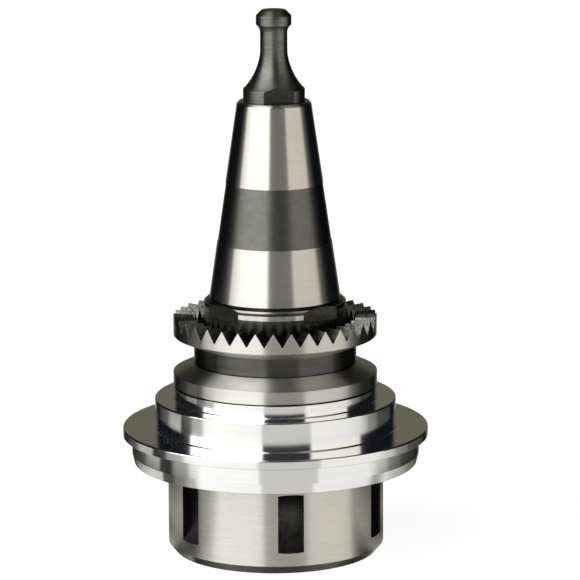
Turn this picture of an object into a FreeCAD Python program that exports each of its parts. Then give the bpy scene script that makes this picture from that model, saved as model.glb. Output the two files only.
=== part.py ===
import FreeCAD, Part
import math
import os
from FreeCAD import Vector

# Taper-shank collet chuck. Sizes in mm. The axis is +Z, the chuck stands on its clamping nut,
# and z = 0 is the nut's front face with the nut tight.
# A turn is an angle about the axis, from the front (-Y) towards the right (+X).

# Clearances
slide_fit = 0.02              # radial, pieces pressed or seated on a spigot
thread_clearance = 0.10       # radial, threads drawn as plain cylinders
taper_seat_gap = 0.05         # radial, collet in its seat
race_clearance = 0.12         # ball in its race
bearing_gap = 0.40            # radial, thrust ring in the nut
mouth_gap = 0.06              # radial, thrust ring's cone on the collet's nose

# Spring collet
collet_recess = 0.4           # its face behind the nut's face
collet_length = 40.0
collet_major_dia = 33.0
collet_half_angle = 8.0
collet_bore_dia = 12.0
collet_bore_chamfer = 0.5
collet_nose_dia = 27.6
collet_nose_half_angle = 30.0
collet_nose_length = 3.6
collet_groove_depth = 1.9     # radial
collet_groove_width = 3.0
collet_back_chamfer = 1.0
collet_slot_pairs = 8
collet_slot_width = 0.9
front_slot_rest = 6.0         # wall left behind a slot sawn from the front
back_slot_rest = 9.0          # wall left ahead of a slot sawn from the back

# Shank body, from the nose up
seat_mouth_dia = 32.0
nose_length = 31.25           # nose face to the flange's underside
nose_thread_dia = 40.0
nose_thread_chamfer = 1.0
nose_thread_length = 15.0
relief_width = 2.5
relief_dia = 37.6
spigot_dia = 42.0
spigot_chamfer = 0.5
flange_dia = 50.0
flange_thickness = 3.15
flange_cone_height = 2.3
groove_dia = 39.8             # floor of the gripper groove
groove_width = 4.65           # its floor, between two conical walls
collar_dia = 34.8
collar_height = 8.5           # the groove's upper edge to the collar's
collar_flat_count = 4
collar_flat_depth = 0.85
collar_flat_turn = 41.5
collar_flat_height = 2.9
collar_cone_height = 1.1
edge_line_width = 0.25        # fine turned line at the taper's large end
edge_line_depth = 0.2
gauge_dia = 31.75
gauge_height = 0.95           # gauge plane above the taper's large end
taper_rate = 7.0 / 24.0       # diameter lost for each mm of height
taper_length = 48.2
taper_edge_chamfer = 0.6
relief_band_start = 13.65     # above the large end
relief_band_width = 14.45
relief_band_depth = 0.15
seat_back_clearance = 1.4     # seat's end behind the collet
stop_thread_dia = 18.0
stop_bore_length = 24.0
core_bore_dia = 10.2
bore_edge_chamfer = 0.5

# Toothed ring
crown_width = 7.5             # collar to the rim
crown_cone_height = 2.1       # the groove's upper wall
tooth_count = 36
tooth_base_height = 1.85      # the groove's edge to the tooth roots, at the rim
tooth_depth = 3.35            # at the rim
tooth_channel_width = 2.5     # collar to the teeth
tooth_root_flat = 0.24
tooth_tip_cut = 0.14
tooth_turn = -0.8
crown_web_height = 1.3
crown_edge_chamfer = 0.2

# Pull stud
stud_thread_dia = 12.0
stud_thread_length = 16.0
stud_pilot_dia = 13.0
stud_pilot_length = 5.5
stud_collar_dia = 15.0
stud_collar_height = 2.9
stud_flats_width = 13.0
stud_flats_turn = 11.0
stud_flare_height = 9.6
stud_neck_dia = 6.6
stud_neck_length = 4.1
stud_head_fillet_height = 1.9
stud_head_dia = 8.6
stud_head_height = 2.25
stud_head_chamfer_height = 1.35
stud_top_dia = 5.9
stud_tip_chamfer = 1.0

# Dust ring
ring_collar_dia = 50.0
ring_collar_height = 3.3
ring_step_dia = 59.2
ring_step_height = 7.25
ring_rim_dia = 75.0
ring_rim_height = 2.25
ring_skirt_dia = 70.6
ring_skirt_height = 4.2
ring_foot_chamfer_height = 2.45
ring_foot_chamfer = 0.55      # radial
ring_edge_chamfer = 0.3
ring_hub_length = 10.0
ring_nut_clearance = 1.2      # radial, nut in the ring's cavity

# Retaining ring under the dust ring's hub
clip_thickness = 1.75
clip_side_play = 0.05
clip_groove_depth = 1.25
clip_band_width = 3.45
clip_gap_angle = 34.0
clip_turn = 180.0
clip_lug_radius = 2.1
clip_lug_setback = 0.3        # lug centres outside the band
clip_lug_hole_dia = 2.5

# Clamping nut
nut_dia = 53.0
nut_height = 22.6
nut_face_chamfer_height = 2.2
nut_face_chamfer = 1.8        # radial
nut_top_chamfer = 0.8
nut_mouth_chamfer = 0.5
nut_slot_count = 6
nut_slot_width = 6.3
nut_slot_length = 14.55
nut_slot_depth = 3.0
nut_slot_middle = 12.65       # above the nut's face
nut_slot_turn = 8.1

# Thrust ring and its balls
thrust_ring_dia = 39.2
thrust_ring_recess = 0.6      # its face behind the nut's face
thrust_hook_clearance = 0.6   # radial, hook in the collet's groove
thrust_hook_height = 2.0
thrust_hook_gap = 0.4         # between the collet's lip and the hook
ball_dia = 4.0
ball_count = 30
ball_height = 4.3             # ball centres above the nut's face
plug_dia = 4.2
plug_recess = 0.15
plug_turn = 158.0

# Stop screw
stop_length = 14.0
stop_setback = 5.5            # behind the collet's back face
stop_socket_width = 8.0
stop_socket_depth = 8.0
stop_hole_dia = 5.0
stop_chamfer = 1.0

# Heights and radii that follow
collet_slope = math.tan(math.radians(collet_half_angle))
nose_slope = math.tan(math.radians(collet_nose_half_angle))
collet_front_z = collet_recess
collet_back_z = collet_front_z + collet_length
collet_lip_z = collet_front_z + collet_nose_length
collet_major_z = collet_lip_z + collet_groove_width
nose_z = collet_major_z + (collet_major_dia - seat_mouth_dia) / 2 / collet_slope
flange_z = nose_z + nose_length
flange_top_z = flange_z + flange_thickness
groove_z = flange_top_z + flange_cone_height
crown_seat_z = groove_z + groove_width
crown_z = crown_seat_z + crown_cone_height
collar_z = crown_z + collar_height
large_end_z = collar_z + collar_cone_height
small_end_z = large_end_z + taper_length
stop_z = collet_back_z + stop_setback
ball_circle_r = (thrust_ring_dia + bearing_gap) / 2
nut_bore_r = thrust_ring_dia / 2 + bearing_gap
collet_groove_r = collet_major_dia / 2 - collet_groove_depth
clip_groove_r = spigot_dia / 2 - clip_groove_depth
crown_r = collar_dia / 2 + crown_width
tooth_inner_r = collar_dia / 2 + tooth_channel_width
race_r = ball_dia / 2 + race_clearance


def taper_radius(z):
    """Radius of the taper at height z."""
    gauge_z = large_end_z + gauge_height
    return gauge_dia / 2 - (z - gauge_z) * taper_rate / 2


def collet_radius(z):
    """Radius of the collet's long cone at height z."""
    return collet_major_dia / 2 - (z - collet_major_z) * collet_slope


def seat_radius(z):
    """Radius of the seat in the nose at height z."""
    return collet_radius(z) + taper_seat_gap


def direction(turn):
    """Unit vector that points outwards at a turn from the front."""
    a = math.radians(turn)
    return Vector(math.sin(a), -math.cos(a), 0)


def turned(points):
    """Solid turned from a closed outline of (radius, height) points."""
    corners = [Vector(r, 0, z) for r, z in points]
    wire = Part.makePolygon(corners + corners[:1])
    return Part.Face(wire).revolve(Vector(0, 0, 0), Vector(0, 0, 1), 360)


def rod(radius, z_low, z_high):
    """Round bar on the axis."""
    return Part.makeCylinder(radius, z_high - z_low, Vector(0, 0, z_low))


def spun(shape, turn):
    """Copy of a shape made at the front, swung round the axis by a turn."""
    copy = shape.copy()
    copy.rotate(Vector(0, 0, 0), Vector(0, 0, 1), turn)
    return copy


def pattern(shape, count, first_turn=0.0):
    """Copies of a shape made at the front, evenly round the axis."""
    return [spun(shape, first_turn + 360.0 * i / count) for i in range(count)]


def front_block(width, depth_low, depth_high, z_low, z_high):
    """Block at the front, as wide as width, between two distances from the axis."""
    corner = Vector(-width / 2, -depth_high, z_low)
    return Part.makeBox(width, depth_high - depth_low, z_high - z_low, corner)


def hexagon(width, z_low, z_high):
    """Hexagonal bar on the axis, width across its flats."""
    corner_r = width / 2 / math.cos(math.radians(30))
    corners = [direction(60 * i) * corner_r + Vector(0, 0, z_low) for i in range(6)]
    face = Part.Face(Part.makePolygon(corners + corners[:1]))
    return face.extrude(Vector(0, 0, z_high - z_low))


def shank_outline():
    """Outside of the shank from the nose to the small end of the taper."""
    thread_r = nose_thread_dia / 2
    relief_z = nose_z + nose_thread_length
    spigot_r = spigot_dia / 2
    flange_r = flange_dia / 2
    groove_r = groove_dia / 2
    collar_r = collar_dia / 2
    clip_top = clip_z + clip_thickness + clip_side_play
    clip_low = clip_z - clip_side_play
    band_z = large_end_z + relief_band_start
    band_top = band_z + relief_band_width
    line_z = large_end_z - edge_line_width
    cone_share = edge_line_width / collar_cone_height
    line_r = taper_radius(large_end_z) + (collar_r - taper_radius(large_end_z)) * cone_share
    tip_z = small_end_z - taper_edge_chamfer
    return [
        (thread_r - nose_thread_chamfer, nose_z),
        (thread_r, nose_z + nose_thread_chamfer),
        (thread_r, relief_z),
        (relief_dia / 2, relief_z),
        (relief_dia / 2, relief_z + relief_width),
        (spigot_r - spigot_chamfer, relief_z + relief_width),
        (spigot_r, relief_z + relief_width + spigot_chamfer),
        (spigot_r, clip_low),
        (clip_groove_r, clip_low),
        (clip_groove_r, clip_top),
        (spigot_r, clip_top),
        (spigot_r, flange_z),
        (flange_r, flange_z),
        (flange_r, flange_top_z),
        (groove_r, groove_z),
        (groove_r, crown_seat_z),
        (collar_r, crown_seat_z),
        (collar_r, collar_z),
        (line_r, line_z),
        (taper_radius(large_end_z) - edge_line_depth, line_z),
        (taper_radius(large_end_z) - edge_line_depth, large_end_z),
        (taper_radius(large_end_z), large_end_z),
        (taper_radius(band_z), band_z),
        (taper_radius(band_z) - relief_band_depth, band_z),
        (taper_radius(band_top) - relief_band_depth, band_top),
        (taper_radius(band_top), band_top),
        (taper_radius(tip_z), tip_z),
        (taper_radius(tip_z) - taper_edge_chamfer, small_end_z),
    ]


def shank_bore_outline():
    """Inside of the shank from the small end of the taper down to the nose."""
    pilot_z = small_end_z - stud_pilot_length
    thread_end_z = pilot_z - stud_thread_length
    seat_end_z = collet_back_z + seat_back_clearance
    stop_top_z = seat_end_z + stop_bore_length
    stop_r = stop_thread_dia / 2
    stud_r = stud_thread_dia / 2
    core_r = core_bore_dia / 2
    return [
        (stud_pilot_dia / 2 + slide_fit, small_end_z),
        (stud_pilot_dia / 2 + slide_fit, pilot_z),
        (stud_r + thread_clearance, pilot_z),
        (stud_r + thread_clearance, thread_end_z),
        (core_r, thread_end_z - (stud_r + thread_clearance - core_r)),
        (core_r, stop_top_z + (stop_r - core_r) / 2),
        (stop_r + thread_clearance, stop_top_z),
        (stop_r + thread_clearance, seat_end_z + bore_edge_chamfer),
        (stop_r + thread_clearance + bore_edge_chamfer, seat_end_z),
        (seat_radius(seat_end_z), seat_end_z),
        (seat_radius(nose_z), nose_z),
    ]


def make_shank_body():
    body = turned(shank_outline() + shank_bore_outline())
    flat_z = collar_z - collar_flat_height
    flat_distance = collar_dia / 2 - collar_flat_depth
    flat = front_block(collar_dia, flat_distance, collar_dia, flat_z, large_end_z)
    return body.cut(pattern(flat, collar_flat_count, collar_flat_turn))


def tooth_gap():
    """Gap between two teeth at the front. Its flanks, root and the tooth tips all
    run to one point on the axis, so each flank is a plane."""
    half_pitch = math.radians(180.0 / tooth_count)
    middle_z = crown_z + tooth_base_height + tooth_depth / 2
    reach = 1.3
    distance = crown_r * math.cos(half_pitch)
    root = tooth_root_flat / 2
    spread = crown_r * math.sin(half_pitch) - root
    apex = Vector(0, 0, middle_z)

    def rim_point(share, side):
        sideways = side * (root + spread * share)
        drop = tooth_depth * (share - 0.5)
        offset = Vector(sideways, -distance, drop) * reach
        return apex + offset

    corners = [rim_point(0, -1), rim_point(0, 1), rim_point(2, 1), rim_point(2, -1)]
    faces = [Part.Face(Part.makePolygon(corners + corners[:1]))]
    for i in range(4):
        edge_end = corners[(i + 1) % 4]
        faces.append(Part.Face(Part.makePolygon([apex, corners[i], edge_end, apex])))
    return Part.Solid(Part.Shell(faces))


def make_toothed_ring():
    bore_r = collar_dia / 2 + slide_fit
    middle_z = crown_z + tooth_base_height + tooth_depth / 2
    tip_z = crown_z + tooth_base_height + tooth_depth - tooth_tip_cut
    inner_tip_z = middle_z + (tip_z - middle_z) * tooth_inner_r / crown_r
    web_z = crown_z + crown_web_height
    blank = turned([
        (bore_r, crown_seat_z),
        (groove_dia / 2, crown_seat_z),
        (crown_r - crown_edge_chamfer, crown_z),
        (crown_r, crown_z + crown_edge_chamfer),
        (crown_r, tip_z),
        (tooth_inner_r, inner_tip_z),
        (tooth_inner_r, web_z),
        (bore_r, web_z),
    ])
    gap_turn = tooth_turn + 180.0 / tooth_count
    return blank.cut(pattern(tooth_gap(), tooth_count, gap_turn))


def stud_outline():
    """Edges of the pull stud's outline, from the axis at its tip to its head."""
    thread_r = stud_thread_dia / 2
    pilot_z = small_end_z - stud_pilot_length
    tip_z = pilot_z - stud_thread_length + stud_tip_chamfer
    collar_r = stud_collar_dia / 2
    neck_r = stud_neck_dia / 2
    head_r = stud_head_dia / 2
    flare_z = small_end_z + stud_collar_height
    neck_z = flare_z + stud_flare_height
    fillet_z = neck_z + stud_neck_length
    head_z = fillet_z + stud_head_fillet_height
    shoulder_z = head_z + stud_head_height
    top_z = shoulder_z + stud_head_chamfer_height
    flare_out = collar_r - neck_r
    flare_r = (stud_flare_height ** 2 + flare_out ** 2) / (2 * flare_out)
    fillet_out = head_r - neck_r
    fillet_r = (stud_head_fillet_height ** 2 + fillet_out ** 2) / (2 * fillet_out)

    def arc_middle(radius, foot_z, height):
        half = math.asin(height / radius) / 2
        inwards = radius * (1 - math.cos(half))
        return Vector(neck_r + inwards, 0, foot_z + radius * math.sin(half))

    flare_middle = arc_middle(flare_r, neck_z, stud_flare_height)
    flare_middle.z = 2 * neck_z - flare_middle.z
    fillet_middle = arc_middle(fillet_r, fillet_z, stud_head_fillet_height)
    lower = [(0, tip_z - stud_tip_chamfer), (thread_r - stud_tip_chamfer, tip_z - stud_tip_chamfer),
             (thread_r, tip_z), (thread_r, pilot_z), (stud_pilot_dia / 2, pilot_z),
             (stud_pilot_dia / 2, small_end_z), (collar_r, small_end_z), (collar_r, flare_z)]
    upper = [(head_r, head_z), (head_r, shoulder_z), (stud_top_dia / 2, top_z), (0, top_z)]
    low_points = [Vector(r, 0, z) for r, z in lower]
    up_points = [Vector(r, 0, z) for r, z in upper]
    neck_low = Vector(neck_r, 0, neck_z)
    neck_high = Vector(neck_r, 0, fillet_z)
    edges = [Part.makeLine(a, b) for a, b in zip(low_points, low_points[1:])]
    edges.append(Part.Arc(low_points[-1], flare_middle, neck_low).toShape())
    edges.append(Part.makeLine(neck_low, neck_high))
    edges.append(Part.Arc(neck_high, fillet_middle, up_points[0]).toShape())
    edges += [Part.makeLine(a, b) for a, b in zip(up_points, up_points[1:])]
    edges.append(Part.makeLine(up_points[-1], low_points[0]))
    return edges


def make_pull_stud():
    face = Part.Face(Part.Wire(stud_outline()))
    stud = face.revolve(Vector(0, 0, 0), Vector(0, 0, 1), 360)
    flare_top_z = small_end_z + stud_collar_height + stud_flare_height
    flat = front_block(stud_collar_dia, stud_flats_width / 2, stud_collar_dia, small_end_z, flare_top_z)
    return stud.cut(pattern(flat, 2, stud_flats_turn))


def make_dust_ring():
    """One turned piece: hub, step, rim and skirt, open below for the nut."""
    c = ring_edge_chamfer
    collar_r = ring_collar_dia / 2
    step_r = ring_step_dia / 2
    rim_r = ring_rim_dia / 2
    skirt_r = ring_skirt_dia / 2
    cavity_r = nut_dia / 2 + ring_nut_clearance
    bore_r = spigot_dia / 2 + slide_fit
    step_z = flange_z - ring_collar_height
    rim_z = step_z - ring_step_height
    skirt_z = rim_z - ring_rim_height
    foot_z = skirt_z - ring_skirt_height
    bottom_z = foot_z - ring_foot_chamfer_height
    return turned([
        (bore_r, ring_hub_z + c),
        (bore_r + c, ring_hub_z),
        (cavity_r, ring_hub_z),
        (cavity_r, bottom_z + c),
        (cavity_r + c, bottom_z),
        (skirt_r - ring_foot_chamfer, bottom_z),
        (skirt_r, foot_z),
        (skirt_r, skirt_z),
        (rim_r - c, skirt_z),
        (rim_r, skirt_z + c),
        (rim_r, rim_z - c),
        (rim_r - c, rim_z),
        (step_r, rim_z),
        (step_r, step_z - c),
        (step_r - c, step_z),
        (collar_r, step_z),
        (collar_r, flange_z),
        (bore_r, flange_z),
    ])


def make_retaining_ring():
    """Open spring ring in its groove on the spigot, with two lugs for the pliers."""
    inner_r = clip_groove_r + slide_fit
    outer_r = clip_groove_r + clip_band_width
    top_z = clip_z + clip_thickness
    band = rod(outer_r, clip_z, top_z).cut(rod(inner_r, clip_z, top_z))
    lug_r = outer_r + clip_lug_setback
    half_gap = clip_gap_angle / 2
    lug_angle = math.degrees(clip_lug_radius / lug_r)
    wedge_reach = outer_r * 2
    wedge_corners = [
        Vector(0, 0, clip_z),
        direction(clip_turn - half_gap) * wedge_reach + Vector(0, 0, clip_z),
        direction(clip_turn + half_gap) * wedge_reach + Vector(0, 0, clip_z),
    ]
    wedge = Part.Face(Part.makePolygon(wedge_corners + wedge_corners[:1]))
    ring = band.cut(wedge.extrude(Vector(0, 0, clip_thickness)))
    for side in (-1, 1):
        centre = direction(clip_turn + side * (half_gap + lug_angle)) * lug_r
        place = centre + Vector(0, 0, clip_z)
        lug = Part.makeCylinder(clip_lug_radius, clip_thickness, place)
        hole = Part.makeCylinder(clip_lug_hole_dia / 2, clip_thickness, place)
        ring = ring.fuse(lug).cut(hole)
    return ring.cut(rod(inner_r, clip_z, top_z)).removeSplitter()


def ball_race():
    """Ring-shaped space in which the balls roll."""
    return Part.makeTorus(ball_circle_r, race_r, Vector(0, 0, ball_height))


def fill_hole(radius, inner_r, outer_r):
    """Bar through the nut's wall, where the balls are put in."""
    out = direction(plug_turn)
    start = out * inner_r + Vector(0, 0, ball_height)
    return Part.makeCylinder(radius, outer_r - inner_r, start, out)


def make_clamping_nut():
    outer_r = nut_dia / 2
    thread_r = nose_thread_dia / 2 + thread_clearance
    ledge_z = nose_z - nut_mouth_chamfer
    body = turned([
        (nut_bore_r + nut_mouth_chamfer, 0),
        (outer_r - nut_face_chamfer, 0),
        (outer_r, nut_face_chamfer_height),
        (outer_r, nut_height - nut_top_chamfer),
        (outer_r - nut_top_chamfer, nut_height),
        (thread_r + nut_mouth_chamfer, nut_height),
        (thread_r, nut_height - nut_mouth_chamfer),
        (thread_r, ledge_z),
        (nut_bore_r, ledge_z),
        (nut_bore_r, nut_mouth_chamfer),
    ])
    half = nut_slot_length / 2
    cutter_r = (half ** 2 + nut_slot_depth ** 2) / (2 * nut_slot_depth)
    cutter_y = -(outer_r - nut_slot_depth + cutter_r)
    cutter_start = Vector(-nut_slot_width / 2, cutter_y, nut_slot_middle)
    cutter = Part.makeCylinder(cutter_r, nut_slot_width, cutter_start, Vector(1, 0, 0))
    body = body.cut(pattern(cutter, nut_slot_count, nut_slot_turn))
    hole = fill_hole(plug_dia / 2 + slide_fit, ball_circle_r, outer_r + 1)
    return body.cut([ball_race(), hole])


def make_ball_plug():
    outer_r = nut_dia / 2 - plug_recess
    return fill_hole(plug_dia / 2, ball_circle_r + race_r, outer_r)


def make_thrust_ring():
    """Ring between the nut and the collet: a cone pushes the collet's nose, and a
    hook in the collet's groove pulls it out."""
    outer_r = thrust_ring_dia / 2
    hook_r = collet_groove_r + thrust_hook_clearance
    hook_z = collet_lip_z + thrust_hook_gap
    top_z = hook_z + thrust_hook_height

    def cone_r(z):
        return collet_nose_dia / 2 + mouth_gap + (z - collet_front_z) * nose_slope

    ring = turned([
        (cone_r(thrust_ring_recess), thrust_ring_recess),
        (outer_r, thrust_ring_recess),
        (outer_r, top_z),
        (hook_r, top_z),
        (hook_r, hook_z),
        (cone_r(collet_lip_z), hook_z),
        (cone_r(collet_lip_z), collet_lip_z),
    ])
    return ring.cut(ball_race())


def make_bearing_balls():
    ball = Part.makeSphere(ball_dia / 2, Vector(0, -ball_circle_r, ball_height))
    return Part.makeCompound(pattern(ball, ball_count))


def make_collet():
    bore_r = collet_bore_dia / 2
    lip_r = collet_nose_dia / 2 + collet_nose_length * nose_slope
    back_r = collet_radius(collet_back_z)
    chamfer_z = collet_back_z - collet_back_chamfer
    body = turned([
        (bore_r + collet_bore_chamfer, collet_front_z),
        (collet_nose_dia / 2, collet_front_z),
        (lip_r, collet_lip_z),
        (collet_groove_r, collet_lip_z),
        (collet_groove_r, collet_major_z),
        (collet_major_dia / 2, collet_major_z),
        (collet_radius(chamfer_z), chamfer_z),
        (back_r - collet_back_chamfer, collet_back_z),
        (bore_r + collet_bore_chamfer, collet_back_z),
        (bore_r, collet_back_z - collet_bore_chamfer),
        (bore_r, collet_front_z + collet_bore_chamfer),
    ])
    reach = collet_major_dia
    front_slot = front_block(collet_slot_width, bore_r / 2, reach,
                             collet_front_z - 1, collet_back_z - front_slot_rest)
    back_slot = front_block(collet_slot_width, bore_r / 2, reach,
                            collet_front_z + back_slot_rest, collet_back_z + 1)
    half_step = 180.0 / collet_slot_pairs
    slots = pattern(front_slot, collet_slot_pairs)
    slots += pattern(back_slot, collet_slot_pairs, half_step)
    return body.cut(slots)


def make_stop_screw():
    r = stop_thread_dia / 2
    top_z = stop_z + stop_length
    screw = turned([
        (0, stop_z),
        (r - stop_chamfer, stop_z),
        (r, stop_z + stop_chamfer),
        (r, top_z - stop_chamfer),
        (r - stop_chamfer, top_z),
        (0, top_z),
    ])
    socket = hexagon(stop_socket_width, stop_z, stop_z + stop_socket_depth)
    hole = rod(stop_hole_dia / 2, stop_z, top_z)
    return screw.cut([socket, hole])


ring_hub_z = flange_z - ring_hub_length
clip_z = ring_hub_z - clip_side_play - clip_thickness

nodes = {
    "shank_body": make_shank_body,
    "toothed_ring": make_toothed_ring,
    "pull_stud": make_pull_stud,
    "dust_ring": make_dust_ring,
    "retaining_ring": make_retaining_ring,
    "clamping_nut": make_clamping_nut,
    "thrust_ring": make_thrust_ring,
    "bearing_balls": make_bearing_balls,
    "ball_plug": make_ball_plug,
    "collet": make_collet,
    "stop_screw": make_stop_screw,
}

os.makedirs("parts", exist_ok=True)
for name, make in nodes.items():
    shape = make()
    shape.exportStep("parts/" + name + ".step")
    low = shape.BoundBox.ZMin
    high = shape.BoundBox.ZMax
    print(f"{name}: {len(shape.Solids)} solid(s), {shape.Volume:.0f} mm3, z {low:.2f} to {high:.2f}")
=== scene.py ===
import math

import bmesh
import bpy
from mathutils import Matrix, Vector


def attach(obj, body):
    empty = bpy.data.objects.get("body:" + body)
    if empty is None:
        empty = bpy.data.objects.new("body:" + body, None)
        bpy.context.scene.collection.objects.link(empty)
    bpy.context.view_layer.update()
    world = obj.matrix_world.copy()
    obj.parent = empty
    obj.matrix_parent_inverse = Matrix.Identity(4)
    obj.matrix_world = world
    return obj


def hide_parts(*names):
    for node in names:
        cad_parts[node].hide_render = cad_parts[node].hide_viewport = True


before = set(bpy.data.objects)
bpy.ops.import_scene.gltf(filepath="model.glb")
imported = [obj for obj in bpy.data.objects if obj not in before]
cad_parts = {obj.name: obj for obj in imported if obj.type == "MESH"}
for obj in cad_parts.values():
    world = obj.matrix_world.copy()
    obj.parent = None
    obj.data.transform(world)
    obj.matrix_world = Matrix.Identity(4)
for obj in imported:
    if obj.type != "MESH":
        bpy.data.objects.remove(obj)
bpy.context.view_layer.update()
mm = 0.001
print("frame loaded:", len(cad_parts), "nodes")


# colour and node helpers that the studio and every finish use

def fromHex(text, strength=1.0):
    # sRGB hex to the linear colour that the shader wants
    channels = [int(text[i:i + 2], 16) / 255 for i in (1, 3, 5)]
    linear = [c / 12.92 if c <= 0.04045 else ((c + 0.055) / 1.055) ** 2.4 for c in channels]
    return tuple(strength * c for c in linear) + (1.0,)


def addNode(tree, kind, settings=None, **inputs):
    # settings are the node's own options, inputs are values or links by socket name or number
    node = tree.nodes.new(kind)
    for key, value in (settings or {}).items():
        setattr(node, key, value)
    for key, value in inputs.items():
        numbered = key[0] == "i" and key[1:].isdigit()
        socket = node.inputs[int(key[1:])] if numbered else node.inputs[key.replace("_", " ")]
        if isinstance(value, bpy.types.NodeSocket):
            tree.links.new(value, socket)
        else:
            socket.default_value = value
    return node


def newMaterial(name):
    material = bpy.data.materials.new(name)
    material.use_nodes = True
    material.node_tree.nodes.clear()
    return material, material.node_tree


# camera: where the photo was taken from, with a long lens a metre away and a little above

cameraSetup = {
    "distance": 966.0, "aimRight": 3.69, "aimUp": 64.88,  # mm
    "elevation": 11.68, "roll": -0.231,                   # degrees
    "focalPixels": 3951.0, "framePixels": 580.0,
    "sensor": 36.0,                                       # mm
    "clip": (0.05, 50.0),                                 # metres
}


def makeCamera(s):
    data = bpy.data.cameras.new("photoCamera")
    data.sensor_width = s["sensor"]
    data.lens = s["focalPixels"] / s["framePixels"] * s["sensor"]
    data.clip_start, data.clip_end = s["clip"]
    camera = bpy.data.objects.new("photoCamera", data)
    bpy.context.scene.collection.objects.link(camera)
    tilt = math.radians(s["elevation"])
    reach = s["distance"] * mm
    aim = Vector((s["aimRight"] * mm, 0, s["aimUp"] * mm))
    camera.location = aim + Vector((0, -math.cos(tilt), math.sin(tilt))) * reach
    roll = Matrix.Rotation(math.radians(s["roll"]), 4, "Z")
    camera.rotation_euler = (Matrix.Rotation(math.pi / 2 - tilt, 4, "X") @ roll).to_euler()
    bpy.context.scene.camera = camera


makeCamera(cameraSetup)
bpy.context.scene.view_settings.view_transform = "Standard"
print("camera placed")


# studio: the zones of light and dark that the metal shows, by direction from the object

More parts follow.
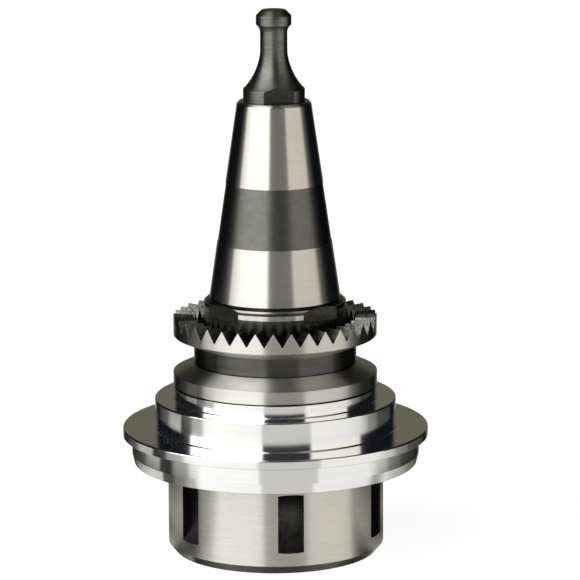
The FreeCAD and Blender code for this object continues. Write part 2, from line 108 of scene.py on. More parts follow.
studio = {
    "tableEnd": 2.0,            # degrees, the lit table ends at the horizon
    "boxTop": (15.0, 30.0),     # degrees above the horizon, the right box is low and the left one high
    "ceiling": (64.0, 80.0),
    "ceilingHex": "#747573",
    "under": (-46.0, -64.0),    # degrees, the object's own shadow right below it
    "underHex": "#232320",
    # bearing in degrees from the front, to the right, then the colour and its strength
    "table": [(-180, "#d8d8d0", 0.75), (-168, "#cfcfc8", 0.6), (-160, "#55554f", 1.0), (-152, "#111418", 1.0),
              (-105, "#111418", 1.0), (-97, "#85847f", 1.0), (-88, "#b0aea7", 1.0), (-76, "#bdbdb8", 1.0),
              (-70, "#fbfaf6", 1.2), (-14, "#f6f5f0", 1.15), (-12, "#dcdad5", 0.95), (33, "#dad8d3", 0.95),
              (35, "#f6f5f0", 1.05), (88, "#f3f2ec", 1.03), (92, "#bab9b2", 1.0), (98, "#8a8983", 1.0),
              (107, "#3c3b38", 1.0), (114, "#111418", 1.0), (152, "#111418", 1.0), (160, "#55554f", 1.0),
              (168, "#cfcfc8", 0.6), (180, "#d8d8d0", 0.75)],
    "walls": [(-180, "#6b6959", 1.0), (-162, "#656253", 1.0), (-150, "#111418", 1.0), (-97, "#15181c", 1.0),
              (-90, "#5c5c59", 1.0), (-87, "#ffffff", 2.3), (-14, "#ffffff", 2.3), (-12, "#262a2f", 1.0),
              (33, "#262a2f", 1.0), (35, "#fbf6ec", 1.3), (87, "#f5efe2", 1.25), (90, "#3c3b36", 1.0),
              (97, "#111418", 1.0), (150, "#111418", 1.0), (162, "#656253", 1.0), (180, "#6b6959", 1.0)],
    "upper": [(-180, "#3e3d33", 1.0), (-150, "#2c2c28", 1.0), (-130, "#141416", 1.0), (-94, "#222222", 1.0),
              (-86, "#ffffff", 2.6), (-14, "#ffffff", 2.6), (-12, "#1b1d20", 1.0), (33, "#1b1d20", 1.0),
              (36, "#b0ada5", 1.0), (84, "#b0ada5", 1.0), (89, "#141416", 1.0), (135, "#141416", 1.0),
              (155, "#2c2c28", 1.0), (180, "#3e3d33", 1.0)],
    # painted reflection of a table beside the object, which only its low pieces show: colour, strength and
    # cover by bearing, and how its painted glow and painted shade rise and fall with the distance from the
    # axis in mm
    "paintedEnds": (118.0, 134.0, 180.0, 200.0),
    "paintedGlow": [(0.0, 2.4), (28.0, 2.4), (38.0, 1.2), (44.0, 1.15), (52.0, 3.6), (74.0, 3.3), (88.0, 0.35),
                  (135.0, 0.35)],
    "glowLimit": 10.0,          # the highest strength that its curve can hold
    "paintedNear": [(-180, "#4c4b46", 1.0, 0.0), (-167, "#4c4b46", 1.0, 0.0), (-156, "#4c4b46", 1.0, 1.0),
                  (-142, "#545349", 1.0, 1.0), (-122, "#686762", 1.0, 1.0), (-100, "#807f7a", 1.0, 1.0),
                  (-86, "#7c7b76", 1.0, 1.0), (-84, "#2c2d2c", 1.0, 1.0), (-74, "#2c2d2c", 1.0, 1.0),
                  (-71, "#474642", 1.0, 1.0), (-64, "#4c4b47", 1.0, 1.0), (-57, "#6e6d69", 1.0, 0.85),
                  (-53, "#7c7b76", 1.0, 0.0), (70, "#908f8a", 1.0, 0.0), (81, "#86857f", 1.0, 1.0),
                  (92, "#73726d", 1.0, 1.0), (116, "#4c4b46", 1.0, 1.0), (142, "#4c4b46", 1.0, 1.0),
                  (160, "#595853", 1.0, 0.0), (180, "#595853", 1.0, 0.0)],
    "paintedFar": [(-180, "#111418", 1.0, 0.0), (-152, "#111418", 1.0, 0.0), (-146, "#191b1e", 1.0, 0.8),
                 (-136, "#2b2b2a", 1.0, 1.0), (-130, "#4a4945", 1.0, 1.0), (-117, "#6a6964", 1.0, 1.0),
                 (-109, "#c6c4bd", 1.0, 1.0), (-95, "#d2d0c9", 1.0, 1.0), (-93, "#22262b", 1.0, 1.0),
                 (-82, "#2b2f34", 1.0, 1.0), (-78, "#2b2f34", 1.0, 0.0), (70, "#f3f2ec", 1.0, 0.0),
                 (72, "#f3f2ec", 1.0, 1.0), (88, "#d8d6cf", 1.0, 1.0), (92, "#a09f99", 1.0, 1.0),
                 (104, "#85847e", 1.0, 1.0), (107, "#5a5954", 1.0, 1.0), (130, "#45443f", 1.0, 1.0),
                 (135, "#14171a", 1.0, 1.0), (148, "#111418", 1.0, 0.0), (180, "#111418", 1.0, 0.0)],
    "floorHex": "#f4f4f2",
    "floorRadius": 3000.0,
    "floorSides": 96,
    "floorDrop": 0.02,          # mm, keeps the table clear of the nut's face
    "shadowShare": 0.22,        # how much of the floor's white follows the light
    "whiteLevel": 1.2,
    "lightStrength": 1.0,
}


def bearingOf(parts, tree):
    # 0 to 1 for -180 to 180 degrees, measured from the front to the right
    back = addNode(tree, "ShaderNodeMath", {"operation": "MULTIPLY"}, i0=parts["Y"], i1=-1.0).outputs[0]
    angle = addNode(tree, "ShaderNodeMath", {"operation": "ARCTAN2"}, i0=parts["X"], i1=back).outputs[0]
    return addNode(tree, "ShaderNodeMapRange", Value=angle, From_Min=-math.pi, From_Max=math.pi).outputs[0]


def setZones(node, stops):
    # one stop for each edge of a zone: bearing, colour, strength and, for the table, how much it covers
    ramp = node.color_ramp
    for stop in stops[1:-1]:
        ramp.elements.new((stop[0] + 180) / 360)
    ordered = sorted(ramp.elements, key=lambda e: e.position)
    for element, (angle, text, strength, *cover) in zip(ordered, stops):
        element.position = (angle + 180) / 360
        element.color = fromHex(text, strength)[:3] + tuple(cover or [1.0])
    return node.outputs


def makeWorld(s):
    world = bpy.data.worlds.new("studioZones")
    bpy.context.scene.world = world
    world.use_nodes = True
    tree = world.node_tree
    tree.nodes.clear()
    way = addNode(tree, "ShaderNodeTexCoord").outputs["Generated"]
    parts = addNode(tree, "ShaderNodeSeparateXYZ", i0=way).outputs
    sine = addNode(tree, "ShaderNodeMath", {"operation": "ARCSINE"}, i0=parts["Z"]).outputs[0]
    height = addNode(tree, "ShaderNodeMath", {"operation": "DEGREES"}, i0=sine).outputs[0]
    bearing = bearingOf(parts, tree)
    table, walls, upper = [setZones(addNode(tree, "ShaderNodeValToRGB", i0=bearing), s[zone])["Color"]
                           for zone in ("table", "walls", "upper")]

    # each layer takes over from the one before it between two heights
    layers = [((-s["tableEnd"], s["tableEnd"]), walls), (s["boxTop"], upper),
              (s["ceiling"], fromHex(s["ceilingHex"])), (s["under"], fromHex(s["underHex"]))]
    lit = table
    for (start, end), tone in layers:
        share = addNode(tree, "ShaderNodeMapRange", {"interpolation_type": "SMOOTHSTEP"},
                        Value=height, From_Min=start, From_Max=end).outputs[0]
        lit = addNode(tree, "ShaderNodeMix", {"data_type": "RGBA"}, i0=share, i6=lit, i7=tone).outputs[2]

    rays = addNode(tree, "ShaderNodeLightPath").outputs
    zones = addNode(tree, "ShaderNodeBackground", Color=lit, Strength=s["lightStrength"]).outputs[0]
    white = addNode(tree, "ShaderNodeBackground", Color=(1.0, 1.0, 1.0, 1.0), Strength=1.0).outputs[0]
    seen = addNode(tree, "ShaderNodeMixShader", i0=rays["Is Camera Ray"], i1=zones, i2=white).outputs[0]
    addNode(tree, "ShaderNodeOutputWorld", Surface=seen)


def makeFloor(s):
    bm = bmesh.new()
    bmesh.ops.create_circle(bm, cap_ends=True, segments=s["floorSides"], radius=s["floorRadius"] * mm)
    bmesh.ops.translate(bm, verts=bm.verts, vec=(0, 0, -s["floorDrop"] * mm))
    mesh = bpy.data.meshes.new("floor")
    bm.to_mesh(mesh)
    bm.free()
    floor = bpy.data.objects.new("floor", mesh)
    bpy.context.scene.collection.objects.link(floor)

    # the camera sees mostly an even white, and the rest follows the light so that a shadow shows
    material, tree = newMaterial("paleTable")
    rays = addNode(tree, "ShaderNodeLightPath").outputs
    white = addNode(tree, "ShaderNodeEmission", Color=(1.0, 1.0, 1.0, 1.0),
                    Strength=s["whiteLevel"]).outputs[0]
    matt = addNode(tree, "ShaderNodeBsdfDiffuse", Color=fromHex(s["floorHex"])).outputs[0]
    share = addNode(tree, "ShaderNodeMath", {"operation": "MULTIPLY"},
                    i0=rays["Is Camera Ray"], i1=1 - s["shadowShare"]).outputs[0]
    seen = addNode(tree, "ShaderNodeMixShader", i0=share, i1=matt, i2=white).outputs[0]

    # metal shows a painted reflection: an emission sheet beside the object that only glossy rays meet, with
    # painted glow and shade by distance, and past it the zones of the world
    place = addNode(tree, "ShaderNodeTexCoord").outputs["Object"]
    reach = addNode(tree, "ShaderNodeVectorMath", {"operation": "LENGTH"}, i0=place).outputs["Value"]
    bearing = bearingOf(addNode(tree, "ShaderNodeSeparateXYZ", i0=place).outputs, tree)
    glowEnd = s["paintedGlow"][-1][0]
    share = addNode(tree, "ShaderNodeMath", {"operation": "MULTIPLY"},
                    i0=reach, i1=1 / (glowEnd * mm)).outputs[0]
    glow = addNode(tree, "ShaderNodeFloatCurve", i1=share)
    curve = glow.mapping.curves[0]
    glow.mapping.clip_max_y = s["glowLimit"]
    for distance, strength in s["paintedGlow"][1:-1]:
        curve.points.new(distance / glowEnd, strength)
    for end in (0, -1):
        distance, strength = s["paintedGlow"][end]
        curve.points[end].location = (distance / glowEnd, strength)
    for point in curve.points:
        point.handle_type = "VECTOR"
    glow.mapping.update()
    near = setZones(addNode(tree, "ShaderNodeValToRGB", i0=bearing), s["paintedNear"])
    far = setZones(addNode(tree, "ShaderNodeValToRGB", i0=bearing), s["paintedFar"])
    lit = addNode(tree, "ShaderNodeVectorMath", {"operation": "SCALE"}, i0=near["Color"],
                  Scale=glow.outputs[0]).outputs[0]
    nearEnd, farStart, farEnd, sheetEnd = [end * mm for end in s["paintedEnds"]]
    past = addNode(tree, "ShaderNodeMapRange", Value=reach, From_Min=nearEnd, From_Max=farStart).outputs[0]
    left = addNode(tree, "ShaderNodeMapRange", Value=reach, From_Min=sheetEnd, From_Max=farEnd).outputs[0]
    tone = addNode(tree, "ShaderNodeMix", {"data_type": "RGBA"}, i0=past, i6=lit, i7=far["Color"]).outputs[2]
    cover = addNode(tree, "ShaderNodeMix", i0=past, i2=near["Alpha"], i3=far["Alpha"]).outputs[0]
    cover = addNode(tree, "ShaderNodeMath", {"operation": "MULTIPLY"}, i0=cover, i1=left).outputs[0]
    # painted reflection: an emission that only glossy rays meet, coloured by bearing and made brighter and
    # darker with the distance from the axis
    paintedSheet = addNode(tree, "ShaderNodeEmission", Color=tone).outputs[0]
    clear = addNode(tree, "ShaderNodeBsdfTransparent").outputs[0]
    mirrored = addNode(tree, "ShaderNodeMixShader", i0=cover, i1=clear, i2=paintedSheet).outputs[0]
    seen = addNode(tree, "ShaderNodeMixShader", i0=rays["Is Glossy Ray"], i1=seen, i2=mirrored).outputs[0]

    # from below the table is clear, so that the nut's face can be looked at
    back = addNode(tree, "ShaderNodeNewGeometry").outputs["Backfacing"]
    under = addNode(tree, "ShaderNodeMath", {"operation": "MULTIPLY"},
                    i0=rays["Is Camera Ray"], i1=back).outputs[0]
    seen = addNode(tree, "ShaderNodeMixShader", i0=under, i1=seen, i2=clear).outputs[0]
    addNode(tree, "ShaderNodeOutputMaterial", Surface=seen)
    mesh.materials.append(material)


makeWorld(studio)
makeFloor(studio)
print("studio lit")


# metal finishes: how each surface was made gives its lines, its grain and how far it spreads a reflection,
# with lengths in mm. Grain too fine to show is drawn as coarse as the render needs

finishes = {
    # ground between centres: near-white bars of light with hairlines round the axis
    "groundSteel": {"hex": "#d3d1ca", "darkHex": "#c9c7bf", "roughness": 0.29, "spread": 0.03,
                    "anisotropy": 1.0, "lineSpacing": 0.34, "lineLength": 9.0, "lineDepth": 0.0008,
                    "grain": 0.10, "grainDepth": 0.0001},
    # coned with a wide tool: its lines throw the light up and down, so it shows the bars beside it
    "facedSteel": {"hex": "#d3d1ca", "darkHex": "#c2c0b7", "roughness": 0.44, "spread": 0.03,
                   "anisotropy": 1.0, "lineSpacing": 0.34, "lineLength": 9.0, "lineDepth": 0.001,
                   "grain": 0.10, "grainDepth": 0.0001},
    # turned and left satin: the same bars, softer
    "turnedSteel": {"hex": "#d2d0c8", "darkHex": "#c6c4bb", "roughness": 0.27, "spread": 0.04,
                    "anisotropy": 0.9, "lineSpacing": 0.36, "lineLength": 5.0, "lineDepth": 0.0004,
                    "grain": 0.12, "grainDepth": 0.0003},
    # hardened and blackened, never ground again: dark with fine lathe lines
    "oxidisedSteel": {"hex": "#63635e", "darkHex": "#474742", "roughness": 0.26, "spread": 0.04,
                      "anisotropy": 1.0, "lineSpacing": 0.5, "lineLength": 20.0, "lineDepth": 0.002,
                      "grain": 0.15, "grainDepth": 0.0004},
    # painted shade: an almost black finish on recesses where shade falls, the collar inside the ring of teeth
    # and at the taper's foot, the inside of the teeth, the groove's foot and the dust ring's joint
    "paintedShadeSteel": {"hex": "#54544f", "darkHex": "#2b2b29", "roughness": 0.24, "spread": 0.10,
                    "anisotropy": 0.5, "lineSpacing": 0.5, "lineLength": 2.0, "lineDepth": 0.002,
                    "grain": 0.25, "grainDepth": 0.002},
    # relieved and blasted band on the taper: no bars of light, only a soft gradient
    "mattSteel": {"hex": "#74746d", "darkHex": "#686862", "roughness": 0.38, "spread": 0.04,
                  "anisotropy": 0.75, "lineSpacing": 0.5, "lineLength": 2.0, "lineDepth": 0.0008,
                  "grain": 0.2, "grainDepth": 0.0015},
    # teeth cut by milling after the hardening: torn flanks with lighter patches at random, their near-black
    # darkening partly painted shade in the narrow gaps
    "milledSteel": {"hex": "#7d7d77", "darkHex": "#1e1e1c", "roughness": 0.24, "spread": 0.16,
                    "anisotropy": 0.0, "lineSpacing": 0.5, "lineLength": 1.0, "lineDepth": 0.003,
                    "grain": 0.35, "grainDepth": 0.006},
    # painted shade: a dark floor and walls for the nut's slots and ball hole, and the same darkening on the
    # collar's flats
    "paintedSlotShadeSteel": {"hex": "#52524b", "darkHex": "#33332e", "roughness": 0.40, "spread": 0.1,
                      "anisotropy": 0.0, "lineSpacing": 0.8, "lineLength": 1.2, "lineDepth": 0.003,
                      "grain": 0.3, "grainDepth": 0.003},
    # black oxide over turned steel: olive black, with lathe lines that catch the light
    "blackOxideSteel": {"hex": "#80807a", "darkHex": "#5a5a52", "roughness": 0.40, "spread": 0.08,
                        "anisotropy": 0.55, "lineSpacing": 0.42, "lineLength": 3.0, "lineDepth": 0.0022,
                        "grain": 0.2, "grainDepth": 0.002},
    # black oxide over a milled flat: the same black without the lines
    "blackOxideFlat": {"hex": "#4a4a43", "darkHex": "#3a3a35", "roughness": 0.34, "spread": 0.08,
                       "anisotropy": 0.0, "lineSpacing": 0.8, "lineLength": 1.2, "lineDepth": 0.0004,
                       "grain": 0.25, "grainDepth": 0.001},
    # aluminium turned with a sharp tool: almost a mirror, drawn out across the lines
    "turnedAluminium": {"hex": "#f2f2f2", "darkHex": "#eaebec", "roughness": 0.12, "spread": 0.01,
                        "anisotropy": 0.9, "lineSpacing": 0.4, "lineLength": 30.0, "lineDepth": 0.0002,
                        "grain": 0.2, "grainDepth": 0.00002},
    # cut thread: clean flanks, dull from the coolant film
    "threadSteel": {"hex": "#a8a69c", "darkHex": "#8a887f", "roughness": 0.32, "spread": 0.06,
                    "anisotropy": 0.4, "lineSpacing": 0.3, "lineLength": 6.0, "lineDepth": 0.001,
                    "grain": 0.15, "grainDepth": 0.0008},
    # phosphated spring steel: dark and dry
    "phosphatedSteel": {"hex": "#4e4e4c", "darkHex": "#3c3c3b", "roughness": 0.5, "spread": 0.08,
                        "anisotropy": 0.0, "lineSpacing": 0.8, "lineLength": 3.0, "lineDepth": 0.002,
                        "grain": 0.12, "grainDepth": 0.003},
    # lapped bearing balls: mirrors with a trace of grease
    "lappedSteel": {"hex": "#dcdcd8", "darkHex": "#cfcfca", "roughness": 0.06, "spread": 0.05,
                    "anisotropy": 0.0, "lineSpacing": 1.5, "lineLength": 1.5, "lineDepth": 0.0,
                    "grain": 0.4, "grainDepth": 0.00005},
}


# what the finishes share: the clouds' size is in mm, and a range is where a noise starts and ends

patterns = {"lineDetail": 3.0, "lineRoughness": 0.6, "grainDetail": 2.0, "cloudSize": 9.0, "cloudShare": 0.5,
            "toneRange": (0.5, 1.0), "grainRange": (0.3, 0.7), "faceShare": 1.31}


def makeFinish(name, s, p):
    material, tree = newMaterial(name)
    place = addNode(tree, "ShaderNodeTexCoord").outputs["Object"]
    flat = addNode(tree, "ShaderNodeVectorMath", {"operation": "MULTIPLY"},
                   i0=place, i1=(1.0, 1.0, 0.0)).outputs[0]
    radius = addNode(tree, "ShaderNodeVectorMath", {"operation": "LENGTH"}, i0=flat).outputs["Value"]
    parts = addNode(tree, "ShaderNodeSeparateXYZ", i0=place).outputs

    # a line keeps its height on a wall and its radius on a face
    along = addNode(tree, "ShaderNodeMath", {"operation": "MULTIPLY_ADD"},
                    i0=radius, i1=p["faceShare"], i2=parts["Z"]).outputs[0]
    rise = addNode(tree, "ShaderNodeMath", {"operation": "MULTIPLY"},
                   i0=along, i1=1 / (s["lineSpacing"] * mm)).outputs[0]
    lift = addNode(tree, "ShaderNodeCombineXYZ", Z=rise).outputs[0]
    across = 1 / (s["lineLength"] * mm)
    drawn = addNode(tree, "ShaderNodeVectorMath", {"operation": "MULTIPLY"},
                    i0=flat, i1=(across, across, 0.0)).outputs[0]
    way = addNode(tree, "ShaderNodeVectorMath", {"operation": "ADD"}, i0=drawn, i1=lift).outputs[0]
    lines = addNode(tree, "ShaderNodeTexNoise", Vector=way, Scale=1.0, Detail=p["lineDetail"],
                    Roughness=p["lineRoughness"]).outputs["Fac"]
    grain = addNode(tree, "ShaderNodeTexNoise", Vector=place, Scale=1 / (s["grain"] * mm),
                    Detail=p["grainDetail"]).outputs["Fac"]
    clouds = addNode(tree, "ShaderNodeTexNoise", Vector=place, Scale=1 / (p["cloudSize"] * mm),
                     Detail=p["grainDetail"]).outputs["Fac"]

    tone = addNode(tree, "ShaderNodeMath", {"operation": "MULTIPLY_ADD"},
                   i0=clouds, i1=p["cloudShare"], i2=lines).outputs[0]
    start, end = p["toneRange"]
    tone = addNode(tree, "ShaderNodeMapRange", Value=tone, From_Min=start, From_Max=end).outputs[0]
    colour = addNode(tree, "ShaderNodeMix", {"data_type": "RGBA"},
                     i0=tone, i6=fromHex(s["hex"]), i7=fromHex(s["darkHex"])).outputs[2]
    start, end = p["grainRange"]
    rough = addNode(tree, "ShaderNodeMapRange", Value=grain, From_Min=start, From_Max=end,
                    To_Min=s["roughness"] - s["spread"] / 2,
                    To_Max=s["roughness"] + s["spread"] / 2).outputs[0]
    tool = addNode(tree, "ShaderNodeBump", Strength=1.0, Distance=s["lineDepth"] * mm,
                   Height=lines).outputs[0]
    skin = addNode(tree, "ShaderNodeBump", Strength=1.0, Distance=s["grainDepth"] * mm, Height=grain,
                   Normal=tool).outputs[0]

    # a quarter turn from the way round the axis spreads a reflection across the lines
    metal = addNode(tree, "ShaderNodeBsdfPrincipled", Base_Color=colour, Metallic=1.0, Roughness=rough,
                    Normal=skin, Anisotropic=s["anisotropy"], Anisotropic_Rotation=0.25)
    if s["anisotropy"] > 0:
        aroundAxis = addNode(tree, "ShaderNodeTangent", {"direction_type": "RADIAL", "axis": "Z"}).outputs[0]
        tree.links.new(aroundAxis, metal.inputs["Tangent"])
    addNode(tree, "ShaderNodeOutputMaterial", Surface=metal.outputs[0])
    return material


finish = {name: makeFinish(name, s, patterns) for name, s in finishes.items()}
print("finishes made:", len(finish))


# how every piece is meshed: lengths in mm and angles in degrees, like the sizes of the pieces

meshing = {
    "samePoint": 0.0005, "shortEdge": 0.0002,
    "arcSteps": 8, "wideArc": 1.0, "wideArcSteps": 12,  # a rounding over wideArc takes more steps
    "cutAngle": 38.0, "cutSteps": 2,                    # the edges that roundCuts rounds
    "sharpAngle": 11.6, "faceWeight": 60,               # the turned corners that stay crisp
}


def turnOutline(bm, corners, steps, closed=True):
    # an outline of (radius, height, rounding) corners in mm is spun round the axis
    verts = [bm.verts.new((c[0] * mm, 0, c[1] * mm)) for c in corners]
    for pair in zip(verts, verts[1:] + (verts[:1] if closed else [])):
        bm.edges.new(pair)
    rounds = {}
    for vert, corner in zip(verts, corners):
        if len(corner) > 2:
            rounds.setdefault(corner[2], []).append(vert)
    fresh = set(verts)
    for size, group in rounds.items():
        arc = meshing["wideArcSteps"] if size > meshing["wideArc"] else meshing["arcSteps"]
        made = bmesh.ops.bevel(bm, geom=group, affect="VERTICES", offset=size * mm, offset_type="OFFSET",
                               segments=arc, profile=0.5, material=-1)
        fresh.update(made["verts"])
    fresh = [v for v in fresh if v.is_valid]
    edges = list({e for v in fresh for e in v.link_edges})
    bmesh.ops.spin(bm, geom=fresh + edges, cent=(0, 0, 0), axis=(0, 0, 1), dvec=(0, 0, 0),
                   angle=2 * math.pi, steps=steps, use_merge=True, use_duplicate=False)
    closeUp(bm)


def closeUp(bm):
    bmesh.ops.remove_doubles(bm, verts=bm.verts, dist=meshing["samePoint"] * mm)
    bmesh.ops.dissolve_degenerate(bm, edges=bm.edges, dist=meshing["shortEdge"] * mm)
    bmesh.ops.recalc_face_normals(bm, faces=bm.faces)


def turnAbout(bm, degrees, axis="Z"):
    turn = Matrix.Rotation(math.radians(degrees), 3, axis)
    bmesh.ops.rotate(bm, verts=bm.verts, cent=(0, 0, 0), matrix=turn)


def repeatRound(bm, count, firstTurn):
    # copies of what was made at the front, the first one turned to its place
    turnAbout(bm, firstTurn)
    bmesh.ops.spin(bm, geom=bm.verts[:] + bm.edges[:] + bm.faces[:], cent=(0, 0, 0), axis=(0, 0, 1),
                   dvec=(0, 0, 0), angle=2 * math.pi * (count - 1) / count, steps=count - 1,
                   use_merge=False, use_duplicate=True)
    bmesh.ops.recalc_face_normals(bm, faces=bm.faces)


def paintFaces(bm, rule):
    # rule(radius, height, normal) in mm gives the number of the finish
    for face in bm.faces:
        middle = face.calc_center_median() / mm
        face.material_index = rule(middle.xy.length, middle.z, face.normal)


def newPiece(name, bm, *materials):
    mesh = bpy.data.meshes.new(name)
    bm.to_mesh(mesh)
    bm.free()
    for material in materials:
        mesh.materials.append(finish[material])
    piece = bpy.data.objects.new(name, mesh)
    bpy.context.scene.collection.objects.link(piece)
    return piece


def bakeModifiers(piece):
    graph = bpy.context.evaluated_depsgraph_get()
    mesh = bpy.data.meshes.new_from_object(piece.evaluated_get(graph))
    piece.modifiers.clear()
    piece.data = mesh


def cutAway(piece, bm, finishName):
    # the cutter's finish stays on the faces that it leaves
    cutter = newPiece("cutter", bm, finishName)
    mod = piece.modifiers.new("cut", "BOOLEAN")
    mod.operation = "DIFFERENCE"
    mod.solver = "EXACT"
    mod.material_mode = "TRANSFER"
    mod.object = cutter
    bakeModifiers(piece)
    bpy.data.objects.remove(cutter)


def roundCuts(piece, width, finishNumber=-1):
    # small rounded edges where the cuts meet the turned faces, in a finish of their own where one is named
    mod = piece.modifiers.new("edges", "BEVEL")
    mod.width = width * mm
    mod.segments = meshing["cutSteps"]
    mod.limit_method = "ANGLE"
    mod.angle_limit = math.radians(meshing["cutAngle"])
    mod.material = finishNumber
    bakeModifiers(piece)


def cutFlats(piece, s, finishName):
    # a block at the front, repeated round the axis, takes the flats off
    width, depth = s["flatBlock"]
    height = s["flatTop"] - s["flatLow"]
    middle = (0, -(s["flatDistance"] + depth / 2) * mm, (s["flatTop"] + s["flatLow"]) / 2 * mm)
    bm = bmesh.new()
    bmesh.ops.create_cube(bm, size=1.0)
    bmesh.ops.scale(bm, verts=bm.verts, vec=(width * mm, depth * mm, height * mm))
    bmesh.ops.translate(bm, verts=bm.verts, vec=middle)
    repeatRound(bm, s["flats"], s["flatTurn"])
    cutAway(piece, bm, finishName)
    roundCuts(piece, s["edge"])


def addThread(piece, s, finishNumber):
    # a helical ridge, spun with a rise for every step, which sits in the plain wall that carries it
    steps = round(s["turns"] * s["stepsPerTurn"])
    half = (s["pitch"] - s["rootFlat"]) / 2
    tip = s["crestFlat"] / 2
    root, crest = s["rootRadius"], s["crestRadius"]
    outline = ((root, -half), (crest, -tip), (crest, tip), (root, half))
    bm = bmesh.new()
    verts = [bm.verts.new((radius * mm, 0, (s["start"] + z) * mm)) for radius, z in outline]
    face = bm.faces.new(verts)
    bmesh.ops.spin(bm, geom=verts + list(face.edges) + [face], cent=(0, 0, 0), axis=(0, 0, 1),
                   dvec=(0, 0, s["pitch"] * mm / s["stepsPerTurn"]), angle=2 * math.pi * s["turns"],
                   steps=steps, use_merge=False, use_duplicate=False)
    closeUp(bm)
    for face in bm.faces:
        face.material_index = finishNumber
    bm.from_mesh(piece.data)
    bm.to_mesh(piece.data)
    bm.free()


def finishPiece(piece, body, slot, *nodes):
    # smooth shading that the wide faces lead, crisp at every turned corner
    piece.data.shade_smooth()
    piece.data.set_sharp_from_angle(angle=math.radians(meshing["sharpAngle"]))
    mod = piece.modifiers.new("wideFaces", "WEIGHTED_NORMAL")
    mod.keep_sharp = True
    mod.weight = meshing["faceWeight"]
    bakeModifiers(piece)
    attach(piece, body)
    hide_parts(*nodes)
    print(piece.name, len(piece.data.polygons), "faces")


# shank body: taper with its matt band, collar with four flats, gripper groove, flange, spigot and nose

shankSizes = {
    "noseZ": 10.558, "noseWall": 19.1, "noseChamfer": 0.7, "reliefZ": 25.558, "reliefTop": 28.058,
    "reliefRadius": 18.8, "reliefEdge": 0.3, "spigotRadius": 21.0, "clipLow": 29.958, "clipTop": 31.808,
    "clipRadius": 19.75, "flangeZ": 41.808, "flangeTop": 44.958, "flangeRadius": 25.0,
    "grooveZ": 47.258, "grooveRadius": 19.9, "footSlope": 0.02, "footHeight": 0.36, "footDepth": 0.5,
    "seatZ": 51.908, "collarRadius": 17.4, "groundZ": 60.7, "groundTop": 61.85, "collarZ": 62.508,
    "glintZ": 62.9, "lineZ": 63.358, "lineRadius": 16.329, "lineDepth": 0.2, "largeEndZ": 63.608,
    "bandLow": 77.258, "bandTop": 91.708, "bandDepth": 0.15, "tipZ": 111.208, "smallEndZ": 111.808,
    "tipChamfer": 0.6, "gaugeRadius": 15.875, "gaugeZ": 64.558, "taperRate": 7 / 48,
    "flats": 4, "flatDistance": 16.55, "flatTurn": 41.5, "flatLow": 59.608, "flatTop": 63.608,
    "flatBlock": (27.84, 4.0),  # width and depth of the block that cuts a flat
    "edge": 0.08, "steps": 320,
    "bore": [(6.52, 111.808, 0.15), (6.52, 106.308), (6.1, 106.308), (6.1, 90.308), (5.1, 89.308),
             (5.1, 69.75), (9.1, 65.8), (9.1, 42.3), (9.6, 41.8), (12.06, 41.8, 0.1), (16.05, 10.558, 0.3)],
    "colletSeat": {"smallRadius": 12.0, "largeRadius": 16.0, "top": 42.0},
    "wallLeast": 1.0, "paintMargin": 0.1,  # how far in from a wall another finish starts
    "roundings": {"spigot": 0.4, "flangeFoot": 0.2, "flangeTop": 0.06, "collar": 0.12, "taperFoot": 0.05,
                  "band": 0.06, "tip": 0.15},
    "thread": {"turns": 8.9, "stepsPerTurn": 96, "pitch": 1.5, "start": 11.7, "rootRadius": 19.06,
               "rootFlat": 0.228, "crestRadius": 19.98, "crestFlat": 0.19},
}


